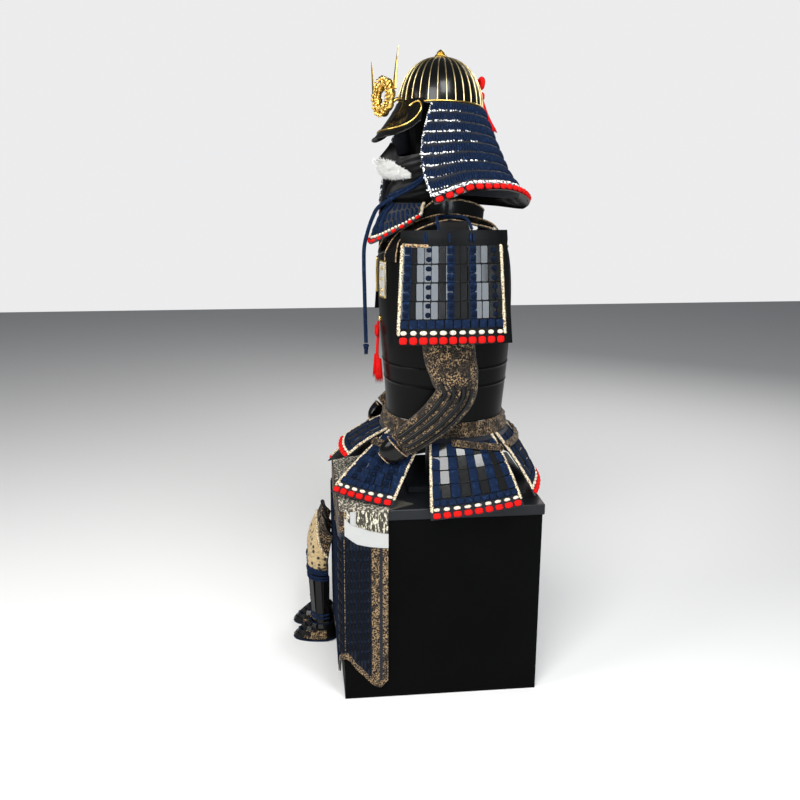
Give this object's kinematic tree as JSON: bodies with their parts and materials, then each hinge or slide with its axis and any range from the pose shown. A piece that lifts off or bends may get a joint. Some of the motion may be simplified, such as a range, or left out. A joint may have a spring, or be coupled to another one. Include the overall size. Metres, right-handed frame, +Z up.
{
  "type": "suit of samurai armour seated on its storage box",
  "caption": "Life-size hollow suit of black lacquered samurai armour with navy lacing, set up on a plain stand on its box.",
  "frame": {"origin": "on the floor, under the middle of the storage box", "axes": "+X is the wearer's left, -Y is the front, +Z is up"},
  "size_m": [0.5572, 0.6322, 1.541],
  "materials": {
    "lacquer": "gloss black lacquer",
    "gilt": "polished gilt",
    "box_black": "plain black lacquered board",
    "lid_black": "satin black lacquered board",
    "navy_cord": "flat braided navy lacing",
    "red_cord": "knotted red cord",
    "white_hair": "soft white hair",
    "white_fittings": "white plate in a gilt frame",
    "brocade": "black brocade with gold-brown figures",
    "tan_cloth": "tan cloth with small dark dots",
    "plain_wood": "plain planed wood"
  },
  "bodies": {
    "root": {"box_body": "box_black", "box_lid": "lid_black", "stand_base": "plain_wood", "stand_post": "plain_wood", "stand_yoke": "plain_wood", "stand_neck": "plain_wood", "head_block": "lacquer", "cuirass_front": "lacquer", "cuirass_back": "lacquer", "shoulder_strap_left": "lacquer", "shoulder_strap_right": "lacquer", "collar": "lacquer", "helmet_bowl": "lacquer", "helmet_visor": "lacquer", "mask": "lacquer", "shoulder_guard_left": "lacquer", "shoulder_guard_right": "lacquer", "hand_guard_left": "lacquer", "hand_guard_right": "lacquer", "shin_guard_near": "lacquer", "shin_guard_far": "lacquer", "chest_ring": "gilt", "helmet_knob": "gilt", "crest_wreath": "gilt", "crest_horn_left": "gilt", "crest_horn_right": "gilt", "chest_plate_left": "white_fittings", "chest_plate_right": "white_fittings", "moustache": "white_hair", "chest_tassel": "red_cord", "helmet_bow": "red_cord", "neck_guard_rim": "red_cord", "neck_guard": "navy_cord", "throat_guard": "navy_cord", "chin_cord": "navy_cord", "chin_cord_knot": "navy_cord", "shoulder_cord_left": "navy_cord", "shoulder_cord_right": "navy_cord", "skirt_front": "navy_cord", "skirt_front_left": "navy_cord", "skirt_front_right": "navy_cord", "skirt_left": "navy_cord", "skirt_right": "navy_cord", "skirt_back_left": "navy_cord", "skirt_back_right": "navy_cord", "thigh_apron_left": "navy_cord", "thigh_apron_right": "navy_cord", "foot_cover_near": "navy_cord", "foot_cover_far": "navy_cord", "sleeve_left": "brocade", "sleeve_right": "brocade", "waist_sash": "brocade", "thigh_cloth_left": "brocade", "thigh_cloth_right": "brocade", "knee_guard_near": "tan_cloth", "knee_guard_far": "tan_cloth", "helmet_lining": "navy_cord"}
  },
  "joints": []
}
